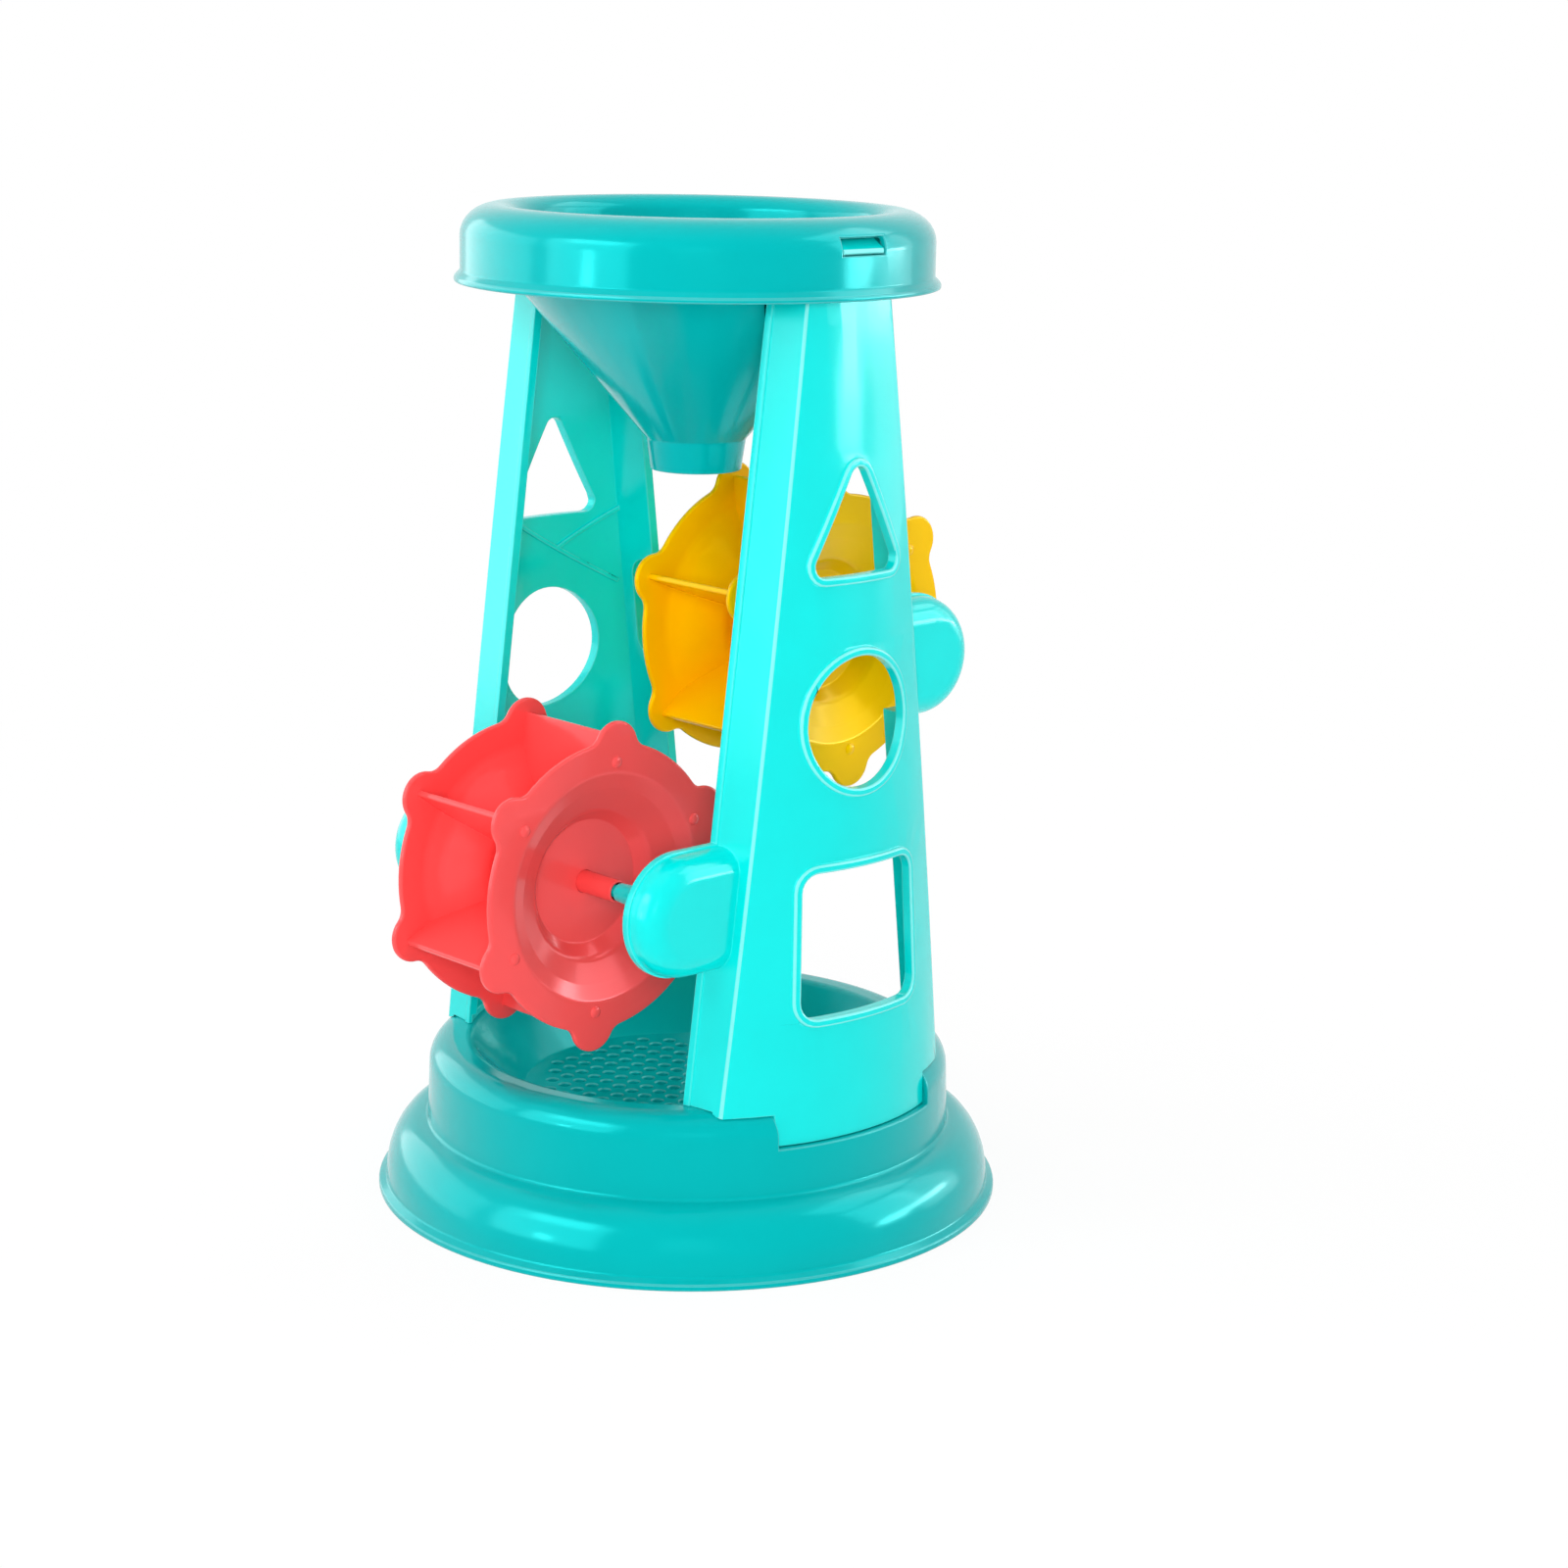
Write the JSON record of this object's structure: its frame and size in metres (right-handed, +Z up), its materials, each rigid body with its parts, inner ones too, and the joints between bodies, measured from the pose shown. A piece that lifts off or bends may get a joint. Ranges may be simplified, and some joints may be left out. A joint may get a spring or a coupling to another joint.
{
  "type": "sand wheel toy",
  "caption": "Sand wheel toy: a round hopper on splayed windowed legs pours sand over free-turning bucket wheels into a sieve base.",
  "frame": {"origin": "the middle of the base's bottom ring, on the ground", "axes": "+Z up, from the base to the hopper; X along both wheels' axles, with the right leg at +X and its mirror image at -X; -Y towards the lower wheel, +Y towards the upper wheel"},
  "size_m": [0.16, 0.1617, 0.25],
  "materials": {
    "stand_teal": "moulded, glossy",
    "legs_aqua": "moulded, glossy",
    "wheel_coral": "moulded, glossy",
    "wheel_amber": "moulded, glossy"
  },
  "bodies": {
    "stand": {"base": "stand_teal", "leg_right": "legs_aqua", "leg_left": "legs_aqua", "hopper": "stand_teal"},
    "lower_wheel_body": {"lower_wheel": "wheel_coral", "lower_wheel_cover": "wheel_coral"},
    "upper_wheel_body": {"upper_wheel": "wheel_amber", "upper_wheel_cover": "wheel_amber"}
  },
  "joints": [
    {"name": "lower_wheel_spin", "type": "hinge", "parent": "stand", "child": "lower_wheel_body", "pos_m": [0, -0.0437, 0.0891], "axis": [1, 0, 0], "continuous": true},
    {"name": "upper_wheel_spin", "type": "hinge", "parent": "stand", "child": "upper_wheel_body", "pos_m": [0, 0.034, 0.1425], "axis": [1, 0, 0], "continuous": true}
  ]
}
